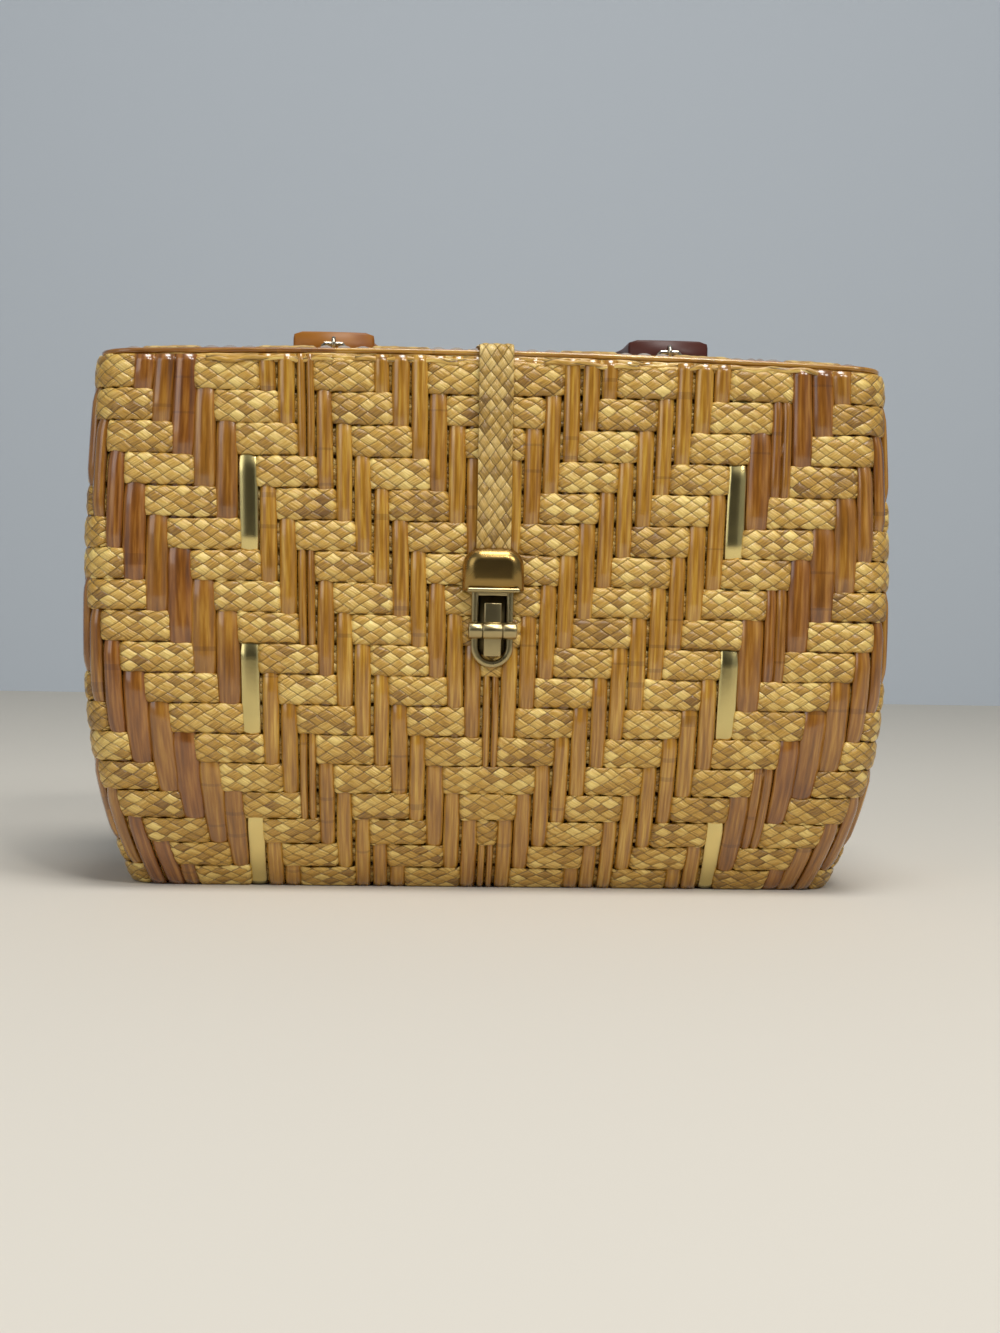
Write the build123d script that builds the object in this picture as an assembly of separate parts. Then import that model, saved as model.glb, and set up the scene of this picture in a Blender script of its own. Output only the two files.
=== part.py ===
from build123d import *
from math import atan, cos, degrees, hypot, radians, sin
import os

# Basket box bag: a woven box with bulging walls, a hinged lid, a folded-back handle, and a strap
# with a metal end cap that hangs over a brass lever latch. Millimetres, +Z up, the front faces -Y,
# and the origin is the middle of the flat base.

# The basket's body
body_width = 264.0
body_depth = 110.0
body_height = 174.0
bulge_height = 95.0
top_width_inset = 3.5
base_width_inset = 14.5
base_depth_inset = 23.0
base_width_power = 2.5
base_depth_power = 3.4
corner_radius = 12.0
wall = 2.4
hoop_height = 8.0
hoop_thickness = 2.4

# The weave
row_count = 18
row_bunching = 0.055
inner_pitch = 6.2
inner_stakes = 13
front_stakes = 18
corner_stakes = 3
side_stakes = 12
stake_lean = 0.00036
cane_width = 4.6
cane_height = 1.5
cane_end_gap = 0.5
cane_fill = 0.86
braid_height = 1.1
braid_edge_gap = 0.35
braid_end_gap = 0.5
ridge_root = 0.7

# The lid
lid_thickness = 2.4
lid_crown = 2.5
lid_edge_inset = 2.0
lid_row_count = 10
lid_stake_pitch = 6.2
lid_stakes = 19
lid_flats = 8
seat_gap = 0.3
touch_gap = 0.05
small_flats = 10
knuckle_flats = 16

# The two brass strips woven in at the place of a cane
strip_width = 5.0
strip_thickness = 0.5
strip_slot_gap = 0.2
strip_bend = 0.6
strip_foot = 1.2
strip_top_gap = 1.0

# The handle, folded back on the lid
handle_offset = 5.0
handle_spacing = 118.5
handle_end_width = 28.5
handle_end_length = 16.0
handle_end_thickness = 9.5
handle_grip_thickness = 7.0
handle_grip_width = 18.0
handle_reach = 76.0
handle_edge = 2.0
handle_stations = 22
wire_diameter = 1.6
eye_clearance = 0.3
eye_shank_length = 6.0
staple_width = 7.4
staple_foot = 3.5

# The hinges at the back
hinge_inset = 38.0
leaf_width = 16.0
leaf_height = 11.0
leaf_thickness = 0.8
knuckle_diameter = 3.4
knuckle_gap = 0.15
lid_knuckle_length = 7.0
hinge_pin_diameter = 1.6
pin_fit = 0.05
rivet_diameter = 1.8
rivet_head_diameter = 3.4
rivet_head_height = 0.7
rivet_spacing = 9.0

# The strap, its cap and the latch
strap_width = 11.2
strap_thickness = 2.0
strap_on_lid = 34.0
strap_inner_bend = 1.6
cap_width = 20.0
cap_height = 14.4
cap_depth = 6.4
cap_wall = 0.8
cap_shoulder = 6.0
cap_chamfer = 2.56
cap_lip_width = 16.5
cap_lip_height = 1.4
cap_bottom = 99.8
strap_in_cap = 4.6
strap_rivet_inset = 5.0
latch_width = 14.0
latch_bottom = 75.6
latch_top = 102.6
latch_bar = 2.0
latch_thickness = 1.2
latch_barrel_width = 15.6
latch_barrel_diameter = 5.6
latch_axis_height = 87.4
latch_axis_stand_off = 3.15
lever_width = 5.6
lever_thickness = 1.2
lever_up = 9.0
lever_down = 8.4
latch_pin_diameter = 2.0
latch_plate_thickness = 0.8
lever_knuckle_inset = 1.8
latch_rivet_diameter = 1.2

# Values worked out from the ones above
half_width = body_width / 2
half_depth = body_depth / 2
lid_bottom = body_height + seat_gap
lid_top = lid_bottom + lid_thickness
stake_crest = half_depth + cane_height
curved_part = bulge_height * 0.8
strip_place = inner_stakes * inner_pitch
hinge_place = half_width - hinge_inset
side_first = front_stakes + corner_stakes + 1
back_centre = 2 * (front_stakes + corner_stakes) + side_stakes + 1


def inset_below(z, amount, power):
    return amount * (max(bulge_height - z, 0) / bulge_height) ** power


def half_width_at(z):
    rise = max(z - bulge_height, 0) / (body_height - bulge_height)
    return half_width - top_width_inset * rise**2 - inset_below(z, base_width_inset, base_width_power)


def half_depth_at(z):
    return half_depth - inset_below(z, base_depth_inset, base_depth_power)


def is_flat(corners):
    a, b, c = (corner - corners[0] for corner in corners[1:])
    return abs(a.cross(b).dot(c)) < 0.001


def stacked(sections):
    """A solid with flat faces through like polygons, given as lists of points."""
    faces = [Face(Wire.make_polygon(sections[0])), Face(Wire.make_polygon(sections[-1]))]
    for low, high in zip(sections, sections[1:]):
        for n in range(len(low)):
            m = (n + 1) % len(low)
            corners = [low[n], low[m], high[m], high[n]]
            if is_flat(corners):
                faces.append(Face(Wire.make_polygon(corners)))
            else:
                faces.append(Face(Wire.make_polygon(corners[:3])))
                faces.append(Face(Wire.make_polygon([high[m], high[n], low[n]])))
    return Solid(Shell(faces))


def corner_angles():
    return [90 * n / corner_stakes for n in range(corner_stakes + 1)]


def body_section(z, inset):
    """The rounded rectangle at a height, as a polygon with one flat for each corner stake."""
    points = []
    a = half_width_at(z) - corner_radius
    b = half_depth_at(z) - corner_radius
    radius = corner_radius - inset
    for turn, (sx, sy) in enumerate(((1, 1), (-1, 1), (-1, -1), (1, -1))):
        for angle in corner_angles():
            t = radians(angle + 90 * turn)
            points.append(Vector(sx * a + radius * cos(t), sy * b + radius * sin(t), z))
    return points


def row_heights():
    """The rows' borders from the top, evenly spaced along the front's curve, closer lower down."""
    step = 0.25
    curve = [(0.0, body_height)]
    z = body_height
    while z > 0:
        low = max(z - step, 0)
        length = hypot(z - low, half_depth_at(z) - half_depth_at(low))
        curve.append((curve[-1][0] + length, low))
        z = low
    heights = []
    for row in range(row_count + 1):
        q = row / row_count
        target = curve[-1][0] * (q + row_bunching * q * (1 - q))
        heights.append(min(curve, key=lambda entry: abs(entry[0] - target))[1])
    return heights


rows = row_heights()


def front_stake_x(n, z):
    """How far a stake of the front or back wall stands from the middle at a height."""
    lean = 1 - stake_lean * (body_height - z)
    if n <= inner_stakes:
        return n * inner_pitch * lean
    edge = half_width_at(z) - corner_radius
    first = inner_stakes * inner_pitch * lean
    return first + (n - inner_stakes) * (edge - first) / (front_stakes - inner_stakes + 0.5)


def stake_place(n, z):
    """A stake's middle on the wall at a height, and the wall's outward direction there."""
    a = half_width_at(z) - corner_radius
    b = half_depth_at(z) - corner_radius
    flat = corner_radius * cos(radians(45 / corner_stakes))
    if n <= front_stakes:
        return Vector(front_stake_x(n, z), -half_depth_at(z), z), Vector(0, -1, 0)
    if n < side_first:
        t = radians(90 * (n - front_stakes - 0.5) / corner_stakes - 90)
        return Vector(a + flat * cos(t), -b + flat * sin(t), z), Vector(cos(t), sin(t), 0)
    if n < side_first + side_stakes:
        along = -b + (n - side_first + 0.5) * 2 * b / side_stakes
        return Vector(half_width_at(z), along, z), Vector(1, 0, 0)
    if n < back_centre - front_stakes:
        t = radians(90 * (n - side_first - side_stakes + 0.5) / corner_stakes)
        return Vector(a + flat * cos(t), b + flat * sin(t), z), Vector(cos(t), sin(t), 0)
    return Vector(front_stake_x(back_centre - n, z), half_depth_at(z), z), Vector(0, 1, 0)


def braid_on_top(n, row):
    """Three over, three under, one step further in each row: row 1 is the top one."""
    return (n + (row + 4) % 6) % 6 < 3


def runs(flags):
    """The first and last index of each stretch of true flags."""
    found = []
    for n, flag in enumerate(flags):
        if flag and n and flags[n - 1]:
            found[-1][1] = n
        elif flag:
            found.append([n, n])
    return found


def mirrored(point):
    return Vector(-point.X, point.Y, point.Z)


def both_sides(sections, centre):
    """The ridge itself, and its mirror image unless it stands on the middle line."""
    solids = [stacked(sections)]
    if not centre:
        solids.append(stacked([[mirrored(p) for p in section] for section in sections]))
    return solids


def cane_section(n, z, width):
    place, out = stake_place(n, z)
    along = Vector(-out.Y, out.X, 0)
    return [
        place - along * (width / 2) - out * ridge_root,
        place + along * (width / 2) - out * ridge_root,
        place + out * cane_height,
    ]


def cane_ridges():
    solids = []
    for n in range(back_centre + 1):
        if n == inner_stakes:
            continue
        flags = [not braid_on_top(n, row) for row in range(1, row_count + 1)]
        for first, last in runs(flags):
            pitch = (stake_place(min(n + 1, back_centre), rows[last + 1])[0]
                     - stake_place(max(n - 1, 0), rows[last + 1])[0]).length / 2
            width = min(cane_width, cane_fill * pitch)
            heights = [rows[first] - cane_end_gap]
            if last - first == 2 and rows[last] < bulge_height / 2:
                heights.append(rows[first + 1] if first % 2 else rows[last])
            heights.append(rows[last + 1] + cane_end_gap)
            sections = [cane_section(n, z, width) for z in heights]
            solids += both_sides(sections, n in (0, back_centre))
    return solids


def wall_flat(n):
    """Which flat of the wall a stake stands on."""
    if n <= front_stakes:
        return 0
    if n < side_first:
        return n - front_stakes
    if n < side_first + side_stakes:
        return 10
    if n < back_centre - front_stakes:
        return 10 + n - side_first - side_stakes + 1
    return 20


def braid_ridges():
    solids = []
    for row in range(1, row_count + 1):
        high = rows[row - 1] - braid_edge_gap
        low = rows[row] + braid_edge_gap
        middle = (high + low) / 2
        flags = [braid_on_top(n, row) for n in range(back_centre + 1)]
        for first, last in runs(flags):
            groups = [[first, first]]
            for n in range(first + 1, last + 1):
                if wall_flat(n) == wall_flat(n - 1):
                    groups[-1][1] = n
                else:
                    groups.append([n, n])
            for start, end in groups:
                solids += braid_ridge(start, end, high, middle, low)
    return solids


def braid_ridge(start, end, high, middle, low):
    out = stake_place(start, middle)[1]
    along = Vector(-out.Y, out.X, 0)
    reach = []
    for n, step in ((start, -1), (end, 1)):
        beside = min(max(n + step, 0), back_centre)
        place = stake_place(n, middle)[0]
        if wall_flat(beside) == wall_flat(n) and beside != n:
            half = (stake_place(beside, middle)[0] - place).length / 2
        else:
            half = corner_radius * sin(radians(45 / corner_stakes)) * 0.9
        reach.append(place + along * step * (half - braid_end_gap))
    if start == 0:
        reach[0] = Vector(-reach[1].X, reach[1].Y, reach[1].Z)
    if end == back_centre:
        reach[1] = Vector(-reach[0].X, reach[0].Y, reach[0].Z)
    surface = {z: stake_place(start, z)[0].dot(out) for z in (high, low)}
    sections = []
    for place in reach:
        flat = place - out * place.dot(out)
        sections.append([
            Vector(flat.X, flat.Y, 0) + out * (surface[high] - ridge_root) + Vector(0, 0, high),
            Vector(flat.X, flat.Y, 0) + out * ((surface[high] + surface[low]) / 2 + braid_height)
            + Vector(0, 0, middle),
            Vector(flat.X, flat.Y, 0) + out * (surface[low] - ridge_root) + Vector(0, 0, low),
        ])
    return both_sides(sections, start == 0 or end == back_centre)


def strip_line(lean_side):
    """The strip's path up the wall: outside over three rows, inside behind the next three."""
    inside = -(wall + touch_gap + strip_thickness / 2)
    outside = touch_gap + strip_thickness / 2
    points = []
    for row in range(row_count, 0, -1):
        over = not braid_on_top(inner_stakes, row)
        offset = outside if over else inside
        for z in (rows[row], rows[row - 1]):
            bend = z + (strip_bend if z == rows[row] else -strip_bend)
            points.append((-(half_depth_at(bend) + offset), bend))
    points[0] = (points[0][0], rows[row_count] + strip_foot)
    points[-1] = (points[-1][0], rows[0] - hoop_height - strip_top_gap)
    return Polyline(*points)


def strip_solid(side, gap):
    profile = trace(strip_line(side), line_width=strip_thickness + 2 * gap)
    width = strip_width + 2 * gap
    body = extrude(Plane.YZ.offset(side * strip_place) * profile, width / 2, both=True)
    lean = degrees(atan(strip_place * stake_lean))
    return body.rotate(Axis((side * strip_place, 0, body_height), (0, 1, 0)), side * lean)


def binding_sections(z, inset):
    """The lid's outline at a height: the body's top outline, moved in by an inset."""
    return [Vector(p.X, p.Y, z) for p in body_section(body_height, inset)]


def woven_body(cutters):
    """The bulging wall and floor in one piece, with a ridge for each cane and braid on top."""
    borders = [z for k, z in enumerate(rows) if k % 4 == 0 or (z < curved_part and k % 2 == 0)]
    outer = stacked([body_section(z, 0) for z in reversed(borders)])
    inner_heights = [wall] + [z for z in reversed(rows[::2]) if 2 * wall < z]
    cavity = stacked([body_section(z, wall) for z in inner_heights])
    ridged = (outer - cavity).fuse(*cane_ridges(), *braid_ridges())
    return (ridged - cutters).clean()


def rim_hoop(cutters):
    """A cane hoop inside the top edge, which carries the hinges."""
    low = body_height - hoop_height
    outer = [[Vector(p.X, p.Y, z) for p in body_section(body_height, wall + touch_gap)]
             for z in (low, body_height)]
    inner_inset = wall + touch_gap + hoop_thickness
    inner = [[Vector(p.X, p.Y, z) for p in body_section(body_height, inner_inset)]
             for z in (low, body_height)]
    return stacked(outer) - stacked(inner) - cutters


def arch(x):
    """How high the lid's crown lifts it at a place across."""
    span = half_width_at(body_height)
    radius = (span**2 + lid_crown**2) / (2 * lid_crown)
    return lid_crown - radius + (radius**2 - x**2) ** 0.5


def arched_slab():
    """The lid's crowned thickness, as eight flats across."""
    span = half_width_at(body_height)
    sections = []
    for n in range(lid_flats + 1):
        x = span * (2 * n / lid_flats - 1)
        low = lid_bottom + arch(x)
        high = lid_top + arch(x)
        sections.append([Vector(x, -half_depth, low), Vector(x, half_depth, low),
                         Vector(x, half_depth, high), Vector(x, -half_depth, high)])
    return stacked(sections)


def lid_prism(inset):
    clear = lid_crown + lid_thickness
    return stacked([binding_sections(z, inset) for z in (lid_bottom - clear, lid_top + clear)])


def lid_cane(n, y0, y1):
    place = n * lid_stake_pitch
    rise = lid_top + arch(place)
    sections = []
    for y in (y0, y1):
        sections.append([
            Vector(place - cane_width / 2, y, rise - ridge_root),
            Vector(place + cane_width / 2, y, rise - ridge_root),
            Vector(place, y, rise + cane_height),
        ])
    return both_sides(sections, n == 0)


def lid_braid(first, last, y0, y1):
    x0 = (first - 0.5) * lid_stake_pitch + braid_end_gap
    x1 = (last + 0.5) * lid_stake_pitch - braid_end_gap
    if first == 0:
        x0 = -x1
    sections = []
    for x in (x0, x1):
        rise = lid_top + arch(x)
        sections.append([
            Vector(x, y0, rise - ridge_root),
            Vector(x, (y0 + y1) / 2, rise + braid_height),
            Vector(x, y1, rise - ridge_root),
        ])
    return both_sides(sections, first == 0)


def lid_ridges():
    """The same weave on the lid, with the canes from front to back."""
    edge = half_depth - lid_edge_inset - braid_edge_gap
    pitch = 2 * edge / lid_row_count
    solids = []
    for n in range(lid_stakes + 1):
        flags = [not braid_on_top(n, row) for row in range(1, lid_row_count + 1)]
        for first, last in runs(flags):
            solids += lid_cane(n, edge - (last + 1) * pitch + cane_end_gap,
                               edge - first * pitch - cane_end_gap)
    for row in range(1, lid_row_count + 1):
        flags = [braid_on_top(n, row) for n in range(lid_stakes + 1)]
        for first, last in runs(flags):
            solids += lid_braid(first, last, edge - row * pitch + braid_edge_gap,
                                edge - (row - 1) * pitch - braid_edge_gap)
    return solids


def woven_lid(cutters):
    outline = lid_prism(lid_edge_inset + touch_gap)
    ridged = (arched_slab() & outline).fuse(*lid_ridges()) & outline
    return (ridged - cutters).clean()


def lid_binding(cutters):
    ring = lid_prism(0) - lid_prism(lid_edge_inset)
    return (arched_slab() & ring) - cutters


def small_round(diameter, flats):
    """The section of a rivet, a wire, a knuckle or a hole for one, with a few flats."""
    return RegularPolygon(diameter / 2, flats)


def along_y(x, z, y0, y1, diameter):
    plane = Plane(origin=(x, y0, z), x_dir=(1, 0, 0), z_dir=(0, 1, 0))
    return extrude(plane * small_round(diameter, small_flats), y1 - y0)


def along_x(y, z, x0, x1, diameter):
    plane = Plane(origin=(x0, y, z), x_dir=(0, 1, 0), z_dir=(1, 0, 0))
    return extrude(plane * small_round(diameter, knuckle_flats), x1 - x0)


def along_z(x, y, z0, z1, diameter):
    section = Plane.XY.offset(z0) * Pos(x, y) * small_round(diameter, small_flats)
    return extrude(section, z1 - z0)


def block(x0, x1, y0, y1, z0, z1):
    centre = Pos((x0 + x1) / 2, (y0 + y1) / 2, (z0 + z1) / 2)
    return centre * Box(x1 - x0, y1 - y0, z1 - z0)


# Where the handle lies and turns
handle_bottom = lid_top + lid_crown + cane_height + seat_gap
handle_axis = handle_bottom + handle_end_thickness / 2
eye_inner = wire_diameter / 2 + eye_clearance
eye_major = eye_inner + wire_diameter / 2
handle_end_face = eye_inner + wire_diameter + seat_gap
eye_places = [handle_offset - handle_spacing / 2, handle_offset + handle_spacing / 2]
handle_sides = ("left", "right")


def handle_sections():
    """The handle's outlines from the left end to the right one, each across the arch."""
    outer = (handle_spacing + handle_end_width) / 2
    inner = (handle_spacing - handle_end_width) / 2
    spring = handle_end_face + handle_end_length
    bow = handle_reach - spring
    stations = [((-outer, handle_end_face), (-inner, handle_end_face))]
    for n in range(handle_stations + 1):
        t = radians(180 - 180 * n / handle_stations)
        stations.append(((outer * cos(t), spring + bow * sin(t)),
                         (inner * cos(t), spring + (bow - handle_grip_width) * sin(t))))
    stations.append(((outer, handle_end_face), (inner, handle_end_face)))
    return [handle_section(*station) for station in stations]


def handle_section(outside, inside):
    """One outline of the handle: a rectangle with its corners cut off, thinner towards the grip."""
    spring = handle_end_face + handle_end_length
    drop = (handle_end_thickness - handle_grip_thickness) / (handle_reach - spring)
    width = hypot(outside[0] - inside[0], outside[1] - inside[1])
    cut = handle_edge / width
    points = []
    for across, rise in ((cut, 0), (1 - cut, 0), (1, 1), (1, 2), (1 - cut, 3), (cut, 3), (0, 2), (0, 1)):
        x = inside[0] + across * (outside[0] - inside[0])
        y = inside[1] + across * (outside[1] - inside[1])
        top = handle_bottom + handle_end_thickness - drop * max(y - spring, 0)
        z = (handle_bottom, handle_bottom + handle_edge, top - handle_edge, top)[rise]
        points.append(Vector(handle_offset + x, y, z))
    return points


def handle():
    body = stacked(handle_sections())
    for x in eye_places:
        body -= along_y(x, handle_axis, handle_end_face - 1, handle_end_face + eye_shank_length
                        + touch_gap, wire_diameter + 2 * touch_gap)
    return body


def handle_eye(x):
    half = wire_diameter / 2
    ring = along_x(0, handle_axis, x - half, x + half, 2 * (eye_inner + wire_diameter))
    ring -= along_x(0, handle_axis, x - wire_diameter, x + wire_diameter, 2 * eye_inner)
    shank = along_y(x, handle_axis, eye_major, handle_end_face + eye_shank_length, wire_diameter)
    return ring + shank


def staple_legs(x):
    return [x - staple_width / 2, x + staple_width / 2]


def handle_staple(x):
    left, right = staple_legs(x)
    outer_foot = max(abs(left), abs(right)) + staple_foot
    foot = lid_bottom + arch(outer_foot) - wire_diameter / 2 - 3 * touch_gap
    bend = wire_diameter / 2
    half_path = [(right, 0, handle_axis - bend), (right, 0, foot + bend), (right + bend, 0, foot),
                 (right + staple_foot, 0, foot)]
    half_path.insert(0, (right - bend, 0, handle_axis))
    mirror_path = [(2 * x - px, py, pz) for px, py, pz in reversed(half_path)]
    path = Polyline(*mirror_path, *half_path)
    section = Plane(origin=path @ 0, z_dir=path % 0) * small_round(wire_diameter, small_flats)
    return sweep(section, path=path, transition=Transition.RIGHT)


def staple_holes():
    size = wire_diameter + 4 * touch_gap
    return [along_z(leg, 0, lid_bottom - 1, handle_bottom, size)
            for x in eye_places for leg in staple_legs(x)]


# Where the hinges lie
hinge_back = stake_crest + touch_gap
hinge_y = hinge_back + knuckle_diameter / 2
hinge_z = body_height + seat_gap / 2
knuckle_clear = knuckle_diameter / 2 + 0.3
body_rivet_z = hinge_z - knuckle_clear - leaf_height / 3
lid_rivet_y = hinge_back - 2 * leaf_height / 3
hinge_length = leaf_width


def hinge_spans(x):
    """The two outer knuckles' stretches and the middle one's."""
    a = x - hinge_length / 2
    d = x + hinge_length / 2
    b = x - lid_knuckle_length / 2
    c = x + lid_knuckle_length / 2
    return [(a, b - knuckle_gap), (c + knuckle_gap, d)], (b, c)


def hinge_body_leaf(x):
    outer, _ = hinge_spans(x)
    low = hinge_z - knuckle_clear - leaf_height
    leaf = block(x - leaf_width / 2, x + leaf_width / 2, hinge_back, hinge_back + leaf_thickness,
                 low, hinge_z - knuckle_clear)
    for x0, x1 in outer:
        leaf += block(x0, x1, hinge_back, hinge_back + leaf_thickness,
                      hinge_z - knuckle_clear, hinge_z)
        leaf += along_x(hinge_y, hinge_z, x0, x1, knuckle_diameter)
    leaf -= along_x(hinge_y, hinge_z, x - leaf_width, x + leaf_width,
                    hinge_pin_diameter + 2 * pin_fit)
    for rivet in rivet_places(x):
        leaf -= along_y(rivet, body_rivet_z, hinge_back - 1, hinge_back + 2,
                        rivet_diameter + 2 * touch_gap)
    return leaf


def lid_leaf_bottom(x):
    return lid_top + arch(abs(x) - leaf_width / 2) + cane_height + touch_gap


def hinge_lid_leaf(x):
    _, (x0, x1) = hinge_spans(x)
    top = lid_leaf_bottom(x) + leaf_thickness
    left = x - leaf_width / 2
    right = x + leaf_width / 2
    leaf = block(left, right, hinge_back, hinge_back + leaf_thickness, hinge_z + knuckle_clear, top)
    leaf += block(left, right, hinge_back - leaf_height, hinge_back, lid_leaf_bottom(x), top)
    leaf += block(x0, x1, hinge_back, hinge_back + leaf_thickness, hinge_z, hinge_z + knuckle_clear)
    leaf += along_x(hinge_y, hinge_z, x0, x1, knuckle_diameter)
    leaf -= along_x(hinge_y, hinge_z, x - leaf_width, x + leaf_width,
                    hinge_pin_diameter + 2 * pin_fit)
    for rivet in rivet_places(x):
        leaf -= along_z(rivet, lid_rivet_y, top - 2, top + 1, rivet_diameter + 2 * touch_gap)
    return leaf


def hinge_pin(x):
    return along_x(hinge_y, hinge_z, x - hinge_length / 2, x + hinge_length / 2, hinge_pin_diameter)


def rivet_places(x):
    return [x - rivet_spacing / 2, x + rivet_spacing / 2]


hinge_places = [-hinge_place, hinge_place]
hoop_inside = half_depth - wall - 2 * touch_gap - hoop_thickness


def body_rivets():
    """Four rivets through the body leaves, the wall and the hoop."""
    solids = []
    for x in hinge_places:
        for place in rivet_places(x):
            y1 = hinge_back + leaf_thickness + touch_gap
            rivet = along_y(place, body_rivet_z, hoop_inside, y1, rivet_diameter)
            rivet += along_y(place, body_rivet_z, y1, y1 + rivet_head_height, rivet_head_diameter)
            rivet += along_y(place, body_rivet_z, hoop_inside - rivet_head_height, hoop_inside,
                             rivet_head_diameter)
            solids.append(rivet)
    return solids


def lid_rivets():
    """Four rivets through the lid leaves and the lid."""
    solids = []
    for x in hinge_places:
        top = lid_leaf_bottom(x) + leaf_thickness + touch_gap
        for place in rivet_places(x):
            bottom = lid_bottom + arch(place) - 2 * touch_gap
            rivet = along_z(place, lid_rivet_y, bottom, top, rivet_diameter)
            rivet += along_z(place, lid_rivet_y, top, top + rivet_head_height, rivet_head_diameter)
            rivet += along_z(place, lid_rivet_y, bottom - rivet_head_height, bottom,
                             rivet_head_diameter)
            solids.append(rivet)
    return solids


# Where the strap, its cap and the latch lie
strap_bottom = lid_top + lid_crown + cane_height + touch_gap
strap_back = -(stake_crest + seat_gap)
strap_front = strap_back - strap_thickness
strap_end = cap_bottom + strap_in_cap
strap_rivet_y = strap_back + strap_on_lid - strap_rivet_inset
latch_back = -(stake_crest + touch_gap)
latch_front = latch_back - latch_thickness
latch_axis_y = latch_back - latch_axis_stand_off
lever_knuckle = latch_width - 2 * (latch_bar + lever_knuckle_inset)
wall_inside = -(half_depth_at(latch_bottom) - wall - 3 * touch_gap)


def closure_strap():
    """A flat braided strap, bent over the lid's front edge."""
    far = strap_back + strap_on_lid
    path = Polygon((far, strap_bottom), (strap_back, strap_bottom), (strap_back, strap_end),
                   (strap_front, strap_end), (strap_front, strap_bottom + strap_thickness),
                   (far, strap_bottom + strap_thickness), align=None)
    inner = [v for v in path.vertices()
             if abs(v.X - strap_back) < 0.01 and abs(v.Y - strap_bottom) < 0.01]
    path = fillet(inner, strap_inner_bend)
    outer = [v for v in path.vertices() if abs(v.X - strap_front) < 0.01 and v.Y > strap_bottom]
    path = fillet(outer, strap_inner_bend + strap_thickness)
    strap = extrude(Plane.YZ * path, strap_width / 2, both=True)
    return strap - strap_rivet_holes()


def strap_rivet_holes():
    size = rivet_diameter + 2 * touch_gap
    return [along_z(x, strap_rivet_y, lid_bottom - 1, strap_bottom + strap_thickness + 1, size)
            for x in (-strap_width / 4, strap_width / 4)]


def strap_rivets():
    solids = []
    top = strap_bottom + strap_thickness + touch_gap
    bottom = lid_bottom + lid_crown - 2 * touch_gap
    for x in (-strap_width / 4, strap_width / 4):
        rivet = along_z(x, strap_rivet_y, bottom, top, rivet_diameter)
        rivet += along_z(x, strap_rivet_y, top, top + rivet_head_height, rivet_head_diameter)
        rivet += along_z(x, strap_rivet_y, bottom - rivet_head_height, bottom, rivet_head_diameter)
        solids.append(rivet)
    return solids


def strap_end_cap():
    """A domed cap, open at the back, with a slot for the strap above and a lip below."""
    middle = cap_bottom + cap_height / 2
    shape = Rectangle(cap_width, cap_height)
    shoulders = shape.vertices().group_by(Axis.Y)[-1]
    shape = fillet(shoulders, cap_shoulder)
    front = Plane(origin=(0, strap_back, middle), x_dir=(1, 0, 0), z_dir=(0, -1, 0))
    dome = extrude(front * shape, cap_depth)
    dome = chamfer(dome.faces().sort_by(Axis.Y)[0].edges(), cap_chamfer)
    inside = Rectangle(cap_width - 2 * cap_wall, cap_height - 2 * cap_wall)
    inside = fillet(inside.vertices().group_by(Axis.Y)[-1], cap_shoulder - cap_wall)
    hollow = extrude(front * inside, cap_depth - cap_wall)
    hollow = chamfer(hollow.faces().sort_by(Axis.Y)[0].edges(), cap_chamfer - cap_wall / 2)
    slot = block(-strap_width / 2 - 0.1, strap_width / 2 + 0.1, strap_front - 0.1, strap_back + 1,
                 middle, middle + cap_height)
    mouth = block(-latch_width / 2 - 0.4, latch_width / 2 + 0.4, latch_front - 0.35,
                  strap_back + 1, cap_bottom - 1, middle)
    lip = block(-cap_lip_width / 2, cap_lip_width / 2, strap_back - cap_depth + 0.2,
                latch_front - 0.35, cap_bottom, cap_bottom + cap_lip_height)
    return (dome - hollow - slot).fuse(lip) - mouth


def latch_outline(width, low, high, radius):
    shape = Pos(0, (low + high) / 2) * Rectangle(width, high - low)
    return fillet(shape.vertices().group_by(Axis.Y)[0], radius)


def latch_base():
    """The oblong frame with its two outer knuckles."""
    ring = latch_outline(latch_width, latch_bottom, latch_top, latch_width / 2 - 0.4)
    opening_top = cap_bottom - cap_lip_height
    ring -= latch_outline(latch_width - 2 * latch_bar, latch_bottom + latch_bar, opening_top,
                          latch_width / 2 - latch_bar - 0.4)
    front = Plane(origin=(0, latch_back, 0), x_dir=(1, 0, 0), z_dir=(0, -1, 0))
    base = extrude(front * ring, latch_thickness)
    half = latch_barrel_width / 2
    gap = lever_knuckle / 2 + knuckle_gap
    for x0, x1 in ((-half, -gap), (gap, half)):
        base += along_x(latch_axis_y, latch_axis_height, x0, x1, latch_barrel_diameter)
    base -= along_x(latch_axis_y, latch_axis_height, -half - 1, half + 1,
                    latch_pin_diameter + 2 * pin_fit)
    for x, z in latch_rivet_places():
        base -= along_y(x, z, latch_front - 1, latch_back + 1, latch_rivet_diameter + 2 * touch_gap)
    return base


def latch_rivet_places():
    top = latch_top - 1.2
    return [(-4.4, top), (4.4, top), (0, latch_bottom + latch_bar / 2)]


def latch_lever():
    """The tongue, with the middle knuckle."""
    front = latch_axis_y - lever_thickness / 2
    tongue = block(-lever_width / 2, lever_width / 2, front, front + lever_thickness,
                   latch_axis_height - lever_down, latch_axis_height + lever_up)
    tongue += along_x(latch_axis_y, latch_axis_height, -lever_knuckle / 2, lever_knuckle / 2,
                      latch_barrel_diameter)
    return tongue - along_x(latch_axis_y, latch_axis_height, -lever_knuckle, lever_knuckle,
                            latch_pin_diameter + 2 * pin_fit)


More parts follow.
